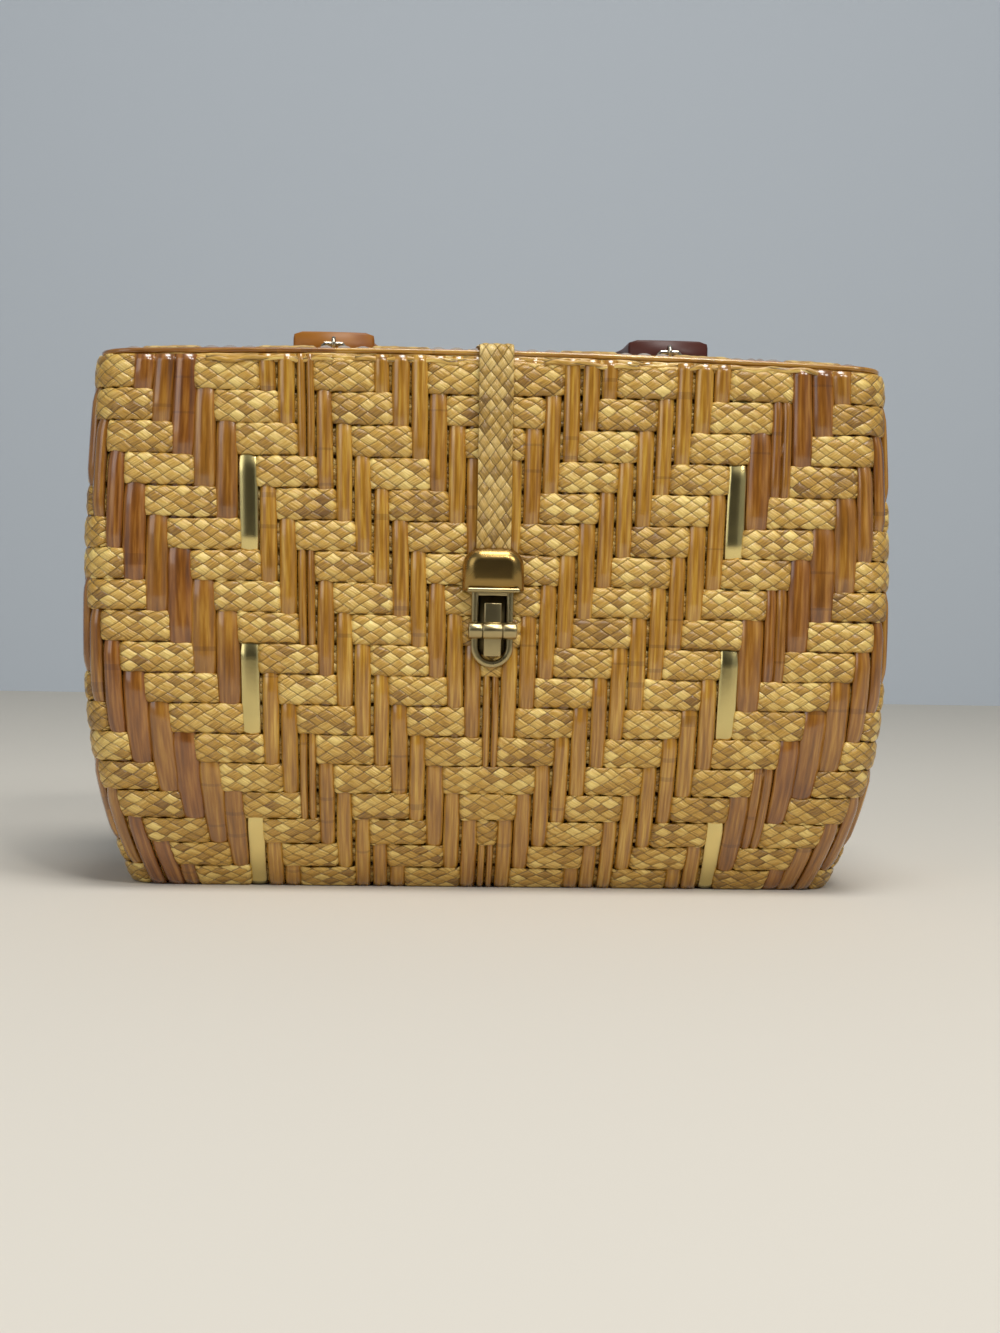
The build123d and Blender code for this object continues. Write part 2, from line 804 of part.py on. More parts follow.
def latch_pin():
    half = latch_barrel_width / 2
    return along_x(latch_axis_y, latch_axis_height, -half, half, latch_pin_diameter)


def latch_plate():
    """The backing plate inside the front wall."""
    back = wall_inside + touch_gap
    plate = block(-latch_width / 2, latch_width / 2, wall_inside, back + latch_plate_thickness,
                  latch_bottom, latch_top)
    for x, z in latch_rivet_places():
        plate -= along_y(x, z, wall_inside - 1, back + 3, latch_rivet_diameter + 2 * touch_gap)
    return plate


def latch_rivets():
    """Three rivets, flush in the frame and headed over the backing plate."""
    solids = []
    inside = wall_inside + 2 * touch_gap + latch_plate_thickness
    for x, z in latch_rivet_places():
        rivet = along_y(x, z, latch_front, inside, latch_rivet_diameter)
        rivet += along_y(x, z, inside, inside + rivet_head_height / 2, 2 * latch_rivet_diameter)
        solids.append(rivet)
    return solids


def body_cutters():
    """What is cut through the body's wall: rivet holes and the strips' slots."""
    cutters = [strip_solid(side, strip_slot_gap) for side in (-1, 1)]
    for x in hinge_places:
        for place in rivet_places(x):
            cutters.append(along_y(place, body_rivet_z, 0, stake_crest + 2,
                                   rivet_diameter + 2 * touch_gap))
    for x, z in latch_rivet_places():
        cutters.append(along_y(x, z, -stake_crest - 2, 0, latch_rivet_diameter + 2 * touch_gap))
    return cutters


def lid_cutters():
    cutters = staple_holes() + strap_rivet_holes()
    for x in hinge_places:
        for place in rivet_places(x):
            cutters.append(along_z(place, lid_rivet_y, lid_bottom - 1, lid_top + 8,
                                   rivet_diameter + 2 * touch_gap))
    return cutters


def save(name, shape):
    shape = shape if isinstance(shape, list) else [shape]
    solids = [solid for piece in shape for solid in piece.solids()]
    whole = solids[0] if len(solids) == 1 else Compound(solids)
    whole.label = name
    export_step(whole, f"parts/{name}.step")


os.makedirs("parts", exist_ok=True)
save("woven_body", woven_body(body_cutters()))
save("rim_hoop", rim_hoop(body_cutters()))
save("woven_lid", woven_lid(lid_cutters()))
save("lid_binding", lid_binding(lid_cutters()))
save("closure_strap", closure_strap())
save("strap_rivets", strap_rivets())
save("strap_end_cap", strap_end_cap())
save("latch_base", latch_base())
save("latch_lever", latch_lever())
save("latch_pin", latch_pin())
save("latch_plate", latch_plate())
save("latch_rivets", latch_rivets())
save("handle", handle())
save("hinge_body_rivets", body_rivets())
save("hinge_lid_rivets", lid_rivets())
for side, sign in zip(handle_sides, (-1, 1)):
    save(f"brass_strip_{side}", strip_solid(sign, 0))
    save(f"handle_eye_{side}", handle_eye(eye_places[sign > 0]))
    save(f"handle_staple_{side}", handle_staple(eye_places[sign > 0]))
    save(f"hinge_body_leaf_{side}", hinge_body_leaf(sign * hinge_place))
    save(f"hinge_lid_leaf_{side}", hinge_lid_leaf(sign * hinge_place))
    save(f"hinge_pin_{side}", hinge_pin(sign * hinge_place))
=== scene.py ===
# %% [markdown]
# # A woven basket box bag
# The real bag is a stiff box woven from two things: upright canes, split and lacquered, and flat
# braids of straw that run round the box in rows. A crowned lid of the same weave is hinged at the
# back. A plastic arch handle lies folded back on the lid, and a braided strap with a metal end cap
# hangs down the front over a small lever latch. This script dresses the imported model, which gives
# every place and size, with pieces that show how each part is really made.

import math

import bmesh
import bpy
import numpy as np
from mathutils import Matrix, Vector


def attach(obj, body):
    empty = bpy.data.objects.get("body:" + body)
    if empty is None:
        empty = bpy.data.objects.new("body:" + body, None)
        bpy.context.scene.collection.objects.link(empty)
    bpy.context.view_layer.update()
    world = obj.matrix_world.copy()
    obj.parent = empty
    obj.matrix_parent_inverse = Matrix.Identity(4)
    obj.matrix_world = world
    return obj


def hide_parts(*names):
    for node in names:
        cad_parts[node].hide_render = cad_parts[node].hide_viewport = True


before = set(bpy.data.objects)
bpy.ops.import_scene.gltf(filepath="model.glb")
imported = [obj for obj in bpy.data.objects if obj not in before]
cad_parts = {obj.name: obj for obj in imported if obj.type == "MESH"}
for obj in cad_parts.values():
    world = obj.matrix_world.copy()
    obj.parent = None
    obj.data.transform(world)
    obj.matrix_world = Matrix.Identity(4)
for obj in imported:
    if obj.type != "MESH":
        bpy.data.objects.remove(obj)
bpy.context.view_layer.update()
rng = np.random.default_rng(11)
MM = 0.001

# %% [markdown]
# ## The wall's shape
# The weave follows the same curves as the CAD wall: straight above, and bulging in below towards a
# smaller base. All lengths in these functions are millimetres, because the weaver's sizes are.
# A place on the wall is given by a cane's number, counted from the middle of the front, a height,
# and how far it stands out from the wall.

# %% The wall's curves
HALF_WIDTH, HALF_DEPTH, BODY_TOP, BULGE, CORNER = 132.0, 55.0, 174.0, 95.0, 12.0
ROWS, BACK, FRONT, FRONT_INNER, PITCH = 18, 55, 18, 13, 6.2
CORNER_STAKES, SIDE_STAKES = 3, 12
SIDE_START = FRONT + CORNER_STAKES
SIDE_END = SIDE_START + SIDE_STAKES
BACK_START = SIDE_END + CORNER_STAKES


def inset_below(z, amount, power):
    return amount * (np.maximum(BULGE - z, 0) / BULGE) ** power


def half_width_at(z):
    rise = np.maximum(z - BULGE, 0) / (BODY_TOP - BULGE)
    return HALF_WIDTH - 3.5 * rise**2 - inset_below(z, 14.5, 2.5)


def half_depth_at(z):
    return HALF_DEPTH - inset_below(z, 23.0, 3.4)


def row_borders():
    heights = np.arange(BODY_TOP, -0.01, -0.25)
    steps = np.hypot(0.25, np.diff(half_depth_at(heights)))
    lengths = np.concatenate([[0], np.cumsum(steps)])
    q = np.arange(ROWS + 1) / ROWS
    return np.interp(lengths[-1] * (q + 0.055 * q * (1 - q)), lengths, heights)


BORDERS = row_borders()


def stake_arc(n, z):
    """How far a whole-numbered cane is round the wall from the middle of the front."""
    edge = half_width_at(z) - CORNER
    side = 2 * (half_depth_at(z) - CORNER)
    turn = CORNER * math.pi / 2

    def along_front(k):
        lean = 1 - 0.00036 * (BODY_TOP - z)
        first = FRONT_INNER * PITCH * lean
        outer = first + (k - FRONT_INNER) * (edge - first) / (FRONT - FRONT_INNER + 0.5)
        return np.where(k <= FRONT_INNER, k * PITCH * lean, outer)

    whole = 2 * edge + 2 * turn + side
    first_corner = edge + turn * (n - FRONT - 0.5) / CORNER_STAKES
    on_side = edge + turn + (n - SIDE_START - 0.5) / SIDE_STAKES * side
    second_corner = edge + turn + side + turn * (n - SIDE_END - 0.5) / CORNER_STAKES
    return np.select([n <= FRONT, n <= SIDE_START, n <= SIDE_END, n <= BACK_START],
                     [along_front(n), first_corner, on_side, second_corner],
                     whole - along_front(BACK - n))


def wall(n, z, out):
    """Points on the wall: cane number (negative on the left), height, distance out."""
    m = np.abs(n)
    low = np.minimum(np.floor(m), BACK - 1)
    arc = stake_arc(low, z) + (m - low) * (stake_arc(low + 1, z) - stake_arc(low, z))
    w, d = half_width_at(z), half_depth_at(z)
    edge, side, turn = w - CORNER, 2 * (d - CORNER), CORNER * math.pi / 2
    a1, a2, a3 = edge + turn, edge + turn + side, edge + 2 * turn + side
    t1 = np.clip((arc - edge) / CORNER, 0, math.pi / 2)
    t2 = np.clip((arc - a2) / CORNER, 0, math.pi / 2)
    where = [arc < edge, arc < a1, arc < a2, arc < a3]
    x = np.select(where, [arc, edge + CORNER * np.sin(t1), w, edge + CORNER * np.cos(t2)],
                  edge - (arc - a3))
    y = np.select(where, [-d, CORNER - d - CORNER * np.cos(t1), CORNER - d + arc - a1,
                          d - CORNER + CORNER * np.sin(t2)], d)
    nx = np.select(where, [0 * arc, np.sin(t1), 1 + 0 * arc, np.cos(t2)], 0)
    ny = np.select(where, [-1 + 0 * arc, -np.cos(t1), 0 * arc, np.sin(t2)], 1)
    slope_w = half_width_at(z + 0.5) - half_width_at(z - 0.5)
    slope_d = half_depth_at(z + 0.5) - half_depth_at(z - 0.5)
    nz = -(nx**2 * slope_w + ny**2 * slope_d)
    size = np.sqrt(1 + nz**2)
    x, nx = np.where(n < 0, -x, x), np.where(n < 0, -nx, nx)
    rise = np.maximum(z + out * nz / size, 0.15)
    return np.stack([x + out * nx / size, y + out * ny / size, rise], axis=1), arc


LID_SPAN, LID_CROWN, LID_TOP = half_width_at(BODY_TOP), 2.5, 176.7
LID_ROWS, LID_STAKES = 10, 20
LID_EDGE, LID_CORNER = HALF_DEPTH - 2.35, CORNER - 2.0
FLOOR_TOP, FLOOR_START, FLOOR_PITCH, FLOOR_BRAID, FLOOR_ROWS = 1.9, -31, 10.3, 10, 6


def lid_arch(x):
    radius = (LID_SPAN**2 + LID_CROWN**2) / (2 * LID_CROWN)
    return LID_CROWN - radius + np.sqrt(radius**2 - x**2)


def lid(n, y, out):
    x = n * PITCH
    near_edge = np.minimum(HALF_DEPTH - np.abs(y), LID_SPAN - np.abs(x))
    dip = 0.4 + 2.4 * np.exp(-(near_edge / 7.0) ** 2)
    return np.stack([x, y, LID_TOP - dip + lid_arch(x) + out], axis=1), x


def floor_panel(n, y, out):
    return np.stack([n * PITCH, y, np.maximum(FLOOR_TOP - out, 0.05)], axis=1), n * PITCH


def braid_on_top(n, row):
    """Three canes over, three under, one cane further in each row, the same on both halves."""
    return (np.abs(n) + (row + 4) % 6) % 6 < 3


print("rows between heights", np.round(BORDERS, 1))

# %% [markdown]
# ## Bent grids
# Every straw braid and every cane is a long strip. Each starts as one flat grid per strip, laid out
# side by side, and is then bent to its place as a closed ribbon and welded along its seam. The
# grid's own two directions stay on the piece as a UV map in centimetres, so that the straw's and
# the cane's grain runs along it.

# %% Strips from grids


def made_mesh(work, name):
    mesh = bpy.data.meshes.new(name)
    work.to_mesh(mesh)
    work.free()
    return mesh


def in_scene(name, data):
    item = bpy.data.objects.new(name, data)
    bpy.context.scene.collection.objects.link(item)
    return item


def strips(name, count, along, around, shape):
    """count grids of along by around faces; shape(strip, u, v) gives points, uv in mm, tone."""
    work = bmesh.new()
    for k in range(count):
        bmesh.ops.create_grid(work, x_segments=along, y_segments=around, size=1,
                              matrix=Matrix.Translation((3 * k, 0, 0)))
    mesh = made_mesh(work, name)
    flat = np.empty(3 * len(mesh.vertices))
    mesh.vertices.foreach_get("co", flat)
    flat = flat.reshape(-1, 3)
    strip = np.round(flat[:, 0] / 3).astype(int)
    u = (flat[:, 0] - 3 * strip + 1) / 2
    v = (flat[:, 1] + 1) / 2
    points, uv, tone = shape(strip, u, v)
    mesh.vertices.foreach_set("co", (points * MM).ravel())
    layer = mesh.uv_layers.new(name="UVMap")
    corner = np.empty(len(mesh.loops), dtype=int)
    mesh.loops.foreach_get("vertex_index", corner)
    layer.data.foreach_set("uv", (uv[corner] / 10).ravel())
    for label, values in zip(("tone", "seed"), tone):
        mesh.attributes.new(label, "FLOAT", "POINT").data.foreach_set("value", values)
    return settle(mesh, name)


def settle(mesh, name, weld=True):
    """Welds the seams, turns the faces outwards and puts the mesh in the scene."""
    work = bmesh.new()
    work.from_mesh(mesh)
    if weld:
        bmesh.ops.remove_doubles(work, verts=work.verts, dist=2e-6)
        bmesh.ops.dissolve_degenerate(work, edges=work.edges, dist=1e-7)
    loose = [edge for edge in work.edges if len(edge.link_faces) == 1]
    bmesh.ops.holes_fill(work, edges=loose, sides=40)
    bmesh.ops.recalc_face_normals(work, faces=work.faces)
    for face in work.faces:
        face.smooth = True
    work.to_mesh(mesh)
    work.free()
    return in_scene(name, mesh)


def dress(piece, body, material, *nodes, slot):
    """Puts a piece on its body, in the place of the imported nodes, with one finish."""
    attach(piece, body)
    if nodes:
        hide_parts(*nodes)
    piece.data.materials.clear()
    piece.data.materials.append(material)
    print(piece.name, len(piece.data.polygons), "faces")
    return piece


def soft(t):
    """A step from 0 to 1 that starts and ends gently."""
    t = np.clip(t, 0, 1)
    return t * t * (3 - 2 * t)


def wander(values, seed, scale):
    """A smooth irregular wave between about -1 and 1."""
    p = np.asarray(seed) * 12.9898
    return (np.sin(values / scale + p) + np.sin(values / scale * 2.3 + 1.7 * p)
            + np.sin(values / scale * 0.37 + 2.9 * p)) / 3


# %% [markdown]
# ## Straw braids
# Each row is a flat plait about ten millimetres wide. Its strands cross at a slant, so its face is
# a field of small diamonds, and its edges are slightly scalloped where the strands turn back. The
# braid goes over three canes and under the next three, and swells a little between them. The
# diamonds are modelled as low pillows here, and the finish adds the straw's fibres.

# %% Straw braid rows
OUTER = np.array([-1, -0.965, -0.83, -0.62, -0.38, -0.13, 0.13, 0.38, 0.62, 0.83, 0.965, 1.0])
INNER = np.array([0.88, 0.3, -0.3, -0.88])
ACROSS = np.concatenate([OUTER, INNER, [-1.0]])
FACING = np.concatenate([np.ones(12), -np.ones(4), [1]])
CELL_U, CELL_V, BRAID_HALF = 6.0, 3.9, 4.95


def pillow(u, v):
    """The swelling of one diamond of the plait: 1 at its middle, 0 at its edges."""
    a, b = u / CELL_U + v / CELL_V, u / CELL_U - v / CELL_V
    return np.sqrt(np.abs(np.cos(math.pi * (a % 1 - 0.5)) * np.cos(math.pi * (b % 1 - 0.5))))


def braid_shape(surface, rows, spans, heights, thick=0.8):
    """Bends strips into plaits on a surface. spans: first and last cane, heights: low and high."""
    first, last = np.array(spans, dtype=float).T
    low, high = np.array(heights).T
    number = np.array(rows)

    def shape(strip, u, v):
        row = number[strip]
        n = first[strip] + u * (last[strip] - first[strip])
        k = np.minimum((v * (len(ACROSS) - 1) + 0.5).astype(int), len(ACROSS) - 1)
        across, face = ACROSS[k], FACING[k]
        near = np.floor(n)
        here, there = (np.where(braid_on_top(c, row), 1.0, -1.0) for c in (near, near + 1))
        start = np.where(here > there, 0.40, 0.24)
        wave = here + (there - here) * soft((n - near - start) / 0.36)
        middle, half = (low + high)[strip] / 2, (high - low)[strip] / 2
        _, arc = surface(n, middle, 0 * n)
        long = np.where(n < 0, -arc, arc) + 41.7 * row
        pinch = 1 - 0.10 * (1 - wave) / 2 + 0.05 * wander(long, row, 7.0)
        scallop = 1 + 0.035 * np.cos(2 * math.pi * long / CELL_U) * (np.abs(across) > 0.8)
        height = middle + half * (across * pinch * scallop + 0.05 * wander(long, row + 5, 11.0))
        round_off = np.sqrt(np.maximum(1 - np.abs(across) ** 3.2, 0))
        relief = 0.30 * pillow(long, across * BRAID_HALF) * (face > 0) * round_off
        bow = 0.28 * wander(long, row + 2, 5.0)
        out = -0.25 + wave * 0.95 + (thick * face * round_off + relief - 0.1 + bow * 0.6)
        points, _ = surface(n, height, out)
        across_uv = np.where(face > 0, across, 2 - across) * BRAID_HALF
        return points, np.stack([long, across_uv + 20 * row], 1), (row / 18.0, row * 0.618 % 1)

    return shape


def braid_piece(name, surface, rows, spans, heights, per_cane):
    along = int(max(last - first for first, last in spans) * per_cane)
    return strips(name, len(rows), along, len(ACROSS) - 1,
                  braid_shape(surface, rows, spans, heights))


PER_CANE = 7
GAP = 0.12
wall_braids = []
for part, rows in (("upper", range(1, 7)), ("middle", range(7, 13)), ("lower", range(13, 19))):
    heights = [(BORDERS[row] + GAP, BORDERS[row - 1] - GAP) for row in rows]
    wall_braids.append(braid_piece("straw_braids_" + part, wall, list(rows),
                                   [(-BACK, BACK)] * 6, heights, PER_CANE))

lid_pitch = 2 * LID_EDGE / LID_ROWS


def lid_reach(y):
    """The last cane place inside the lid's rounded outline, at a distance from its middle."""
    edge = LID_SPAN - 1.3 - LID_CORNER
    into = max(y - (HALF_DEPTH - 1.6 - LID_CORNER), 0)
    return (edge + math.sqrt(max(LID_CORNER**2 - into**2, 1))) / PITCH


lid_rows = list(range(1, LID_ROWS + 1))
lid_heights = [(LID_EDGE - row * lid_pitch + GAP, LID_EDGE - (row - 1) * lid_pitch - GAP)
               for row in lid_rows]
lid_spans = [(-lid_reach(y), lid_reach(y)) for y in np.abs(lid_heights).max(axis=1)]
lid_braids = braid_piece("straw_braids_lid", lid, lid_rows, lid_spans, lid_heights, PER_CANE)
floor_low = [FLOOR_START + FLOOR_PITCH * row for row in range(FLOOR_ROWS)]
floor_high = [low + FLOOR_BRAID for low in floor_low]
floor_braids = braid_piece("straw_braids_floor", floor_panel, list(range(1, FLOOR_ROWS + 1)),
                           [(-18.6, 18.6)] * FLOOR_ROWS, list(zip(floor_low, floor_high)), 3)

# %% [markdown]
# ## Canes
# The canes are split from thicker stems: round and lacquered outside, flat inside. Each runs from
# the rim down into the floor, over three braids and under the next three. Some are two thin canes
# side by side, as where a weaver runs out of wide ones. The ones in the middle of the front are
# honey coloured and closer together; those towards the corners are browner and wider.

# %% Upright canes
SECTION = np.array([-1, -0.92, -0.62, -0.22, 0.22, 0.62, 0.92, 1, 0.4, -0.4, -1])
RAISED = np.array([0, 0.4, 0.79, 0.97, 0.97, 0.79, 0.4, 0, 0, 0, 0])


def cane_shape(surface, canes, rows_low, rows_high, ends, crest=2.0, base=-1.1):
    """Bends strips into canes: canes lists (place, shift in mm, width, tone)."""
    place, shift, width, tones = np.array(canes, dtype=float).T
    centres = (np.array(rows_low) + np.array(rows_high)) / 2
    order = np.argsort(centres)
    numbers = np.arange(1, len(centres) + 1)[order]
    centres = centres[order]

    def shape(strip, u, v):
        n = place[strip]
        bottom, top = ends(strip)
        height = bottom + u * (top - bottom)
        spot = np.clip(np.searchsorted(centres, height) - 1, 0, len(centres) - 2)
        t = soft((height - centres[spot]) / (centres[spot + 1] - centres[spot]))
        here, there = (np.where(braid_on_top(n, numbers[spot + c]), -1.0, 1.0) for c in (0, 1))
        wave = here + (there - here) * t
        k = np.minimum((v * (len(SECTION) - 1) + 0.5).astype(int), len(SECTION) - 1)
        side = SECTION[k] * width[strip] / 2 * (1 + 0.05 * wander(height, n, 17.0))
        side = side + shift[strip] + 0.35 * wander(height, n + 3, 30.0)
        out = base + 0.85 * wave + crest * RAISED[k]
        points, _ = surface(n + side / PITCH, height, out)
        seed = np.abs(np.sin(place * 78.233 + shift * 3.1) * 43758.5453) % 1
        uv = np.stack([height + 37 * strip, SECTION[k] * 3], 1)
        return points, uv, (tones[strip], seed[strip])

    return shape


def choose_canes(numbers, spread):
    """Draws each cane's tone and width; one place in ten holds two thin canes."""
    canes = []
    for n in numbers:
        from_middle = min(abs(n), BACK - abs(n))
        outer = from_middle > FRONT_INNER
        brown = 0.72 if outer else 0.14
        tone = float(np.clip(brown + rng.normal(0, spread), 0, 1))
        width = (6.6 if outer and from_middle <= FRONT else 5.75) * (1 + rng.normal(0, 0.04))
        if rng.random() < 0.10:
            canes.append((n, -1.45, width * 0.5, tone))
            canes.append((n, 1.5, width * 0.47, float(np.clip(tone + rng.normal(0, 0.15), 0, 1))))
        else:
            canes.append((n, 0.0, width, tone))
    return canes


ALONG = 72
wall_canes = choose_canes(range(-BACK + 1, BACK + 1), 0.24)
wall_canes = [cane for cane in wall_canes if abs(cane[0]) != FRONT_INNER]


def wall_ends(strip):
    n = np.array([cane[0] for cane in wall_canes], float)[strip]
    top, _ = wall(n, 173 + 0 * n, 0 * n)
    return 0.3 + 0 * n, 173.6 + lid_arch(top[:, 0])


upright_canes = strips("upright_canes", len(wall_canes), ALONG, len(SECTION) - 1,
                       cane_shape(wall, wall_canes, BORDERS[1:], BORDERS[:-1], wall_ends))
lid_canes_list = choose_canes(range(-LID_STAKES, LID_STAKES + 1), 0.17)


def lid_ends(strip):
    n = np.array([cane[0] for cane in lid_canes_list])[strip]
    into = np.maximum(np.abs(n) * PITCH + 2.2 - (LID_SPAN - 1.6 - LID_CORNER), 0)
    reach = HALF_DEPTH - 1.4 - LID_CORNER + np.sqrt(np.maximum(LID_CORNER**2 - into**2, 1))
    return -reach, reach


lid_low = [LID_EDGE - row * lid_pitch for row in lid_rows]
lid_high = [LID_EDGE - (row - 1) * lid_pitch for row in lid_rows]
lid_canes = strips("lid_canes", len(lid_canes_list), ALONG // 2 + 4, len(SECTION) - 1,
                   cane_shape(lid, lid_canes_list, lid_low, lid_high, lid_ends))
floor_list = choose_canes(range(-17, 18), 0.17)
floor_canes = strips("floor_canes", len(floor_list), 24, len(SECTION) - 1,
                     cane_shape(floor_panel, floor_list, floor_low, floor_high,
                                lambda strip: (-30.5, 30.5)))

# %% [markdown]
# ## Finishes
# The straw is dry and matt with a slight sheen; every cell of the plait has its own tone and the
# fibres run along its strand. The strands that lean one way are painted a little lighter, as
# painted light, and the gaps between strands are painted darker, as painted shade. The cane is
# lacquered: streaked along its length, with a few dark joints, and a clear gloss. The metal is thin
# brass plate. All of it is procedural.

# %% Node helper and finishes


class Graph:
    """A short way to write a procedural finish."""

    def __init__(self, name):
        self.material = bpy.data.materials.new(name)
        self.material.use_nodes = True
        self.tree = self.material.node_tree
        self.shader = self.tree.nodes["Principled BSDF"]

    def add(self, kind, *links, **values):
        node = self.tree.nodes.new(kind)
        for key, value in values.items():
            setattr(node, key, value)
        for socket, value in links:
            self.put(node.inputs[socket], value)
        return node

    def put(self, socket, value):
        if isinstance(value, bpy.types.NodeSocket):
            self.tree.links.new(value, socket)
        else:
            socket.default_value = value

    def set(self, **values):
        for key, value in values.items():
            self.put(self.shader.inputs[key.replace("_", " ")], value)

    def math(self, operation, a, b=0.0, c=0.0):
        return self.add("ShaderNodeMath", (0, a), (1, b), (2, c), operation=operation).outputs[0]

    def mix(self, amount, a, b):
        node = self.add("ShaderNodeMix", data_type="RGBA")
        self.put(node.inputs[0], amount)
        self.put(node.inputs[6], a)
        self.put(node.inputs[7], b)
        return node.outputs[2]

    def join(self, x, y, z):
        return self.add("ShaderNodeCombineXYZ", (0, x), (1, y), (2, z)).outputs[0]

    def noise(self, vector, scale, detail=2.0):
        node = self.add("ShaderNodeTexNoise", ("Vector", vector), ("Scale", scale),
                        ("Detail", detail))
        return node.outputs[0]

    def ramp(self, value, stops):
        node = self.add("ShaderNodeValToRGB", (0, value))
        elements = node.color_ramp.elements
        while len(elements) < len(stops):
            elements.new(0.5)
        for element, (place, colour) in zip(elements, stops):
            element.position = place
            element.color = (*colour, 1)
        return node.outputs[0]

    def bump(self, height, strength, distance):
        node = self.add("ShaderNodeBump", ("Height", height), ("Strength", strength),
                        ("Distance", distance))
        self.put(self.shader.inputs["Normal"], node.outputs[0])


def straw_finish(name, cell_u=CELL_U, cell_v=CELL_V, dark=(0.21, 0.098, 0.016),
                 light=(0.58, 0.325, 0.050), pale=(0.94, 0.70, 0.22)):
    g = Graph(name)
    uv = g.add("ShaderNodeUVMap", uv_map="UVMap").outputs[0]
    parts = g.add("ShaderNodeSeparateXYZ", (0, uv)).outputs
    u, v = g.math("MULTIPLY", parts[0], 10.0), g.math("MULTIPLY", parts[1], 10.0)
    wobble = g.math("SUBTRACT", g.noise(uv, 1.6), 0.5)
    u = g.math("ADD", u, g.math("MULTIPLY", wobble, 1.6))
    a = g.math("ADD", g.math("DIVIDE", u, cell_u), g.math("DIVIDE", v, cell_v))
    b = g.math("SUBTRACT", g.math("DIVIDE", u, cell_u), g.math("DIVIDE", v, cell_v))
    ia, ib = g.math("FLOOR", a), g.math("FLOOR", b)
    fa, fb = g.math("SUBTRACT", a, ia), g.math("SUBTRACT", b, ib)
    turn = g.math("FLOORED_MODULO", g.math("ADD", ia, ib), 2.0)
    keep = g.math("SUBTRACT", 1.0, turn)

    def pick(first, second):
        return g.math("ADD", g.math("MULTIPLY", first, keep), g.math("MULTIPLY", second, turn))

    strand = pick(ib, g.math("ADD", ia, 0.5))
    across, along = pick(fb, fa), pick(a, b)
    cell = g.add("ShaderNodeTexWhiteNoise", ("Vector", g.join(ia, ib, 1.0)),
                 noise_dimensions="3D").outputs[0]
    fibre = g.noise(g.join(g.math("MULTIPLY", along, 0.6), g.math("MULTIPLY", across, 9.0),
                           strand), 1.0, 3.0)
    shade = g.math("ADD", g.math("MULTIPLY", cell, 0.30), g.math("MULTIPLY", fibre, 0.72))
    # Painted light: strands that lean one way are made a little lighter, as gloss would light them.
    shade = g.math("ADD", shade, g.math("MULTIPLY", g.math("SUBTRACT", turn, 0.4), 0.13))
    patch = g.noise(uv, 0.35)
    shade = g.math("ADD", shade, g.math("MULTIPLY", g.math("SUBTRACT", patch, 0.5), 0.5))
    colour = g.ramp(shade, [(0.20, dark), (0.50, light), (0.82, pale)])
    side = g.math("MULTIPLY", g.math("MULTIPLY", across, g.math("SUBTRACT", 1.0, across)), 4.0)
    end = pick(g.math("MULTIPLY", g.math("MULTIPLY", fa, g.math("SUBTRACT", 1.0, fa)), 4.0),
               g.math("MULTIPLY", g.math("MULTIPLY", fb, g.math("SUBTRACT", 1.0, fb)), 4.0))
    rounded = g.math("POWER", g.math("MULTIPLY", g.math("POWER", side, 0.5),
                                     g.math("POWER", end, 0.35)), 0.8)
    # Painted shade: the seam mask darkens each cell towards its edges, in the gaps between strands,
    # where shade falls.
    seam = g.math("SMOOTH_MIN", g.math("MULTIPLY", rounded, 1.9), 1.0, 0.2)
    g.set(Base_Color=g.mix(seam, (*[c * 0.5 for c in dark], 1), colour), Roughness=0.33,
          Specular_IOR_Level=0.7)
    height = g.math("ADD", rounded, g.math("MULTIPLY", fibre, 0.35))
    g.bump(height, 0.9, 0.0008)
    return g.material


def cane_finish(name):
    g = Graph(name)
    uv = g.add("ShaderNodeUVMap", uv_map="UVMap").outputs[0]
    parts = g.add("ShaderNodeSeparateXYZ", (0, uv)).outputs
    tone = g.add("ShaderNodeAttribute", attribute_name="tone").outputs["Fac"]
    seed = g.add("ShaderNodeAttribute", attribute_name="seed").outputs["Fac"]
    along, across = parts[0], parts[1]
    streak = g.noise(g.join(g.math("MULTIPLY", along, 0.55), g.math("MULTIPLY", across, 9.0),
                            g.math("MULTIPLY", seed, 40.0)), 1.0, 4.0)
    slow = g.noise(g.join(g.math("MULTIPLY", along, 0.5), seed, 3.0), 1.0, 2.0)
    honey = g.ramp(streak, [(0.25, (0.25, 0.105, 0.010)), (0.5, (0.45, 0.215, 0.022)),
                            (0.75, (0.68, 0.41, 0.070))])
    brown = g.ramp(streak, [(0.25, (0.10, 0.030, 0.005)), (0.5, (0.25, 0.085, 0.010)),
                            (0.75, (0.46, 0.20, 0.035))])
    blend = g.math("ADD", tone, g.math("MULTIPLY", g.math("SUBTRACT", slow, 0.5), 0.7))
    colour = g.mix(g.math("SMOOTH_MAX", g.math("SMOOTH_MIN", blend, 1.0, 0.1), 0.0, 0.1),
                   honey, brown)
    knot = g.noise(g.join(g.math("MULTIPLY", along, 0.42), g.math("MULTIPLY", seed, 91.0), 7.0),
                   1.0, 0.0)
    line = g.math("MULTIPLY", g.math("COMPARE", knot, 0.66, 0.010), 0.28)
    g.set(Base_Color=g.mix(line, colour, (0.06, 0.02, 0.01, 1)), Roughness=0.26,
          Coat_Weight=1.0, Coat_Roughness=0.13, Specular_IOR_Level=0.5)
    g.bump(streak, 0.12, 0.0002)
    return g.material


def metal_finish(name, colour, rough):
    g = Graph(name)
    place = g.add("ShaderNodeTexCoord").outputs["Object"]
    fine = g.noise(place, 900.0, 3.0)
    cloud = g.noise(place, 60.0, 2.0)
    dull = tuple(c * 0.62 for c in colour)
    g.set(Base_Color=g.mix(cloud, (*dull, 1), (*colour, 1)), Metallic=1.0,
          Roughness=g.math("ADD", rough, g.math("MULTIPLY", cloud, 0.12)))
    g.bump(fine, 0.06, 0.0001)
    return g.material


